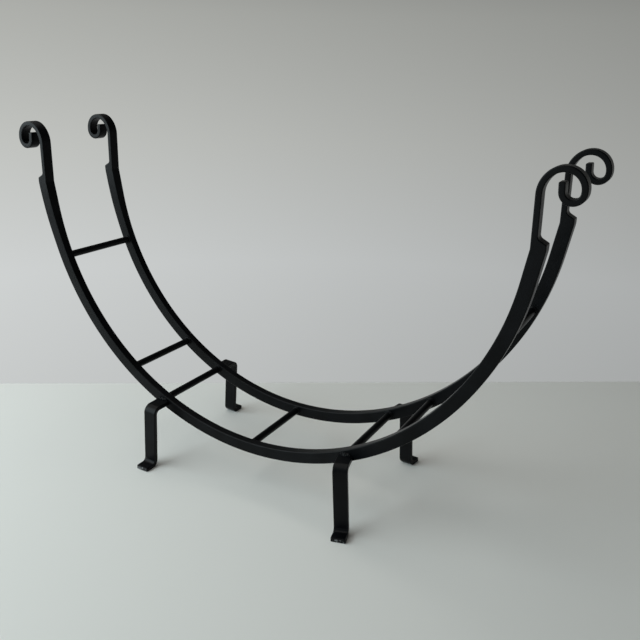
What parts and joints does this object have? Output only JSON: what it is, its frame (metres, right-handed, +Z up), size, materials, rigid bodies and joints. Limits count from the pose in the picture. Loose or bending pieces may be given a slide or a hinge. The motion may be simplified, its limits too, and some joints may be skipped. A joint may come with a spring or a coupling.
{
  "type": "log holder",
  "caption": "Half-round firewood cradle of two scrolled bar rails joined by round rungs, on bent strap legs.",
  "frame": {"origin": "on the floor, below the middle of the holder", "axes": "+X along the holder to the right, +Y from front rail to rear rail, +Z up"},
  "size_m": [0.7852, 0.2384, 0.4763],
  "materials": {
    "black_bar": "satin",
    "black_weld": "satin"
  },
  "bodies": {
    "root": {"rail_front": "black_bar", "rail_rear": "black_bar", "rung_left_high": "black_bar", "rung_left_mid": "black_bar", "rung_left_low": "black_bar", "rung_bottom": "black_bar", "rung_right_low": "black_bar", "rung_right_mid": "black_bar", "rung_right_high": "black_bar", "leg_front_left": "black_bar", "leg_front_right": "black_bar", "leg_rear_left": "black_bar", "leg_rear_right": "black_bar", "weld_rung_left_high_front": "black_weld", "weld_rung_left_high_rear": "black_weld", "weld_rung_left_mid_front": "black_weld", "weld_rung_left_mid_rear": "black_weld", "weld_rung_left_low_front": "black_weld", "weld_rung_left_low_rear": "black_weld", "weld_rung_bottom_front": "black_weld", "weld_rung_bottom_rear": "black_weld", "weld_rung_right_low_front": "black_weld", "weld_rung_right_low_rear": "black_weld", "weld_rung_right_mid_front": "black_weld", "weld_rung_right_mid_rear": "black_weld", "weld_rung_right_high_front": "black_weld", "weld_rung_right_high_rear": "black_weld", "weld_leg_front_left_over": "black_weld", "weld_leg_front_left_under": "black_weld", "weld_leg_front_right_over": "black_weld", "weld_leg_front_right_under": "black_weld", "weld_leg_rear_left_over": "black_weld", "weld_leg_rear_left_under": "black_weld", "weld_leg_rear_right_over": "black_weld", "weld_leg_rear_right_under": "black_weld"}
  },
  "joints": []
}
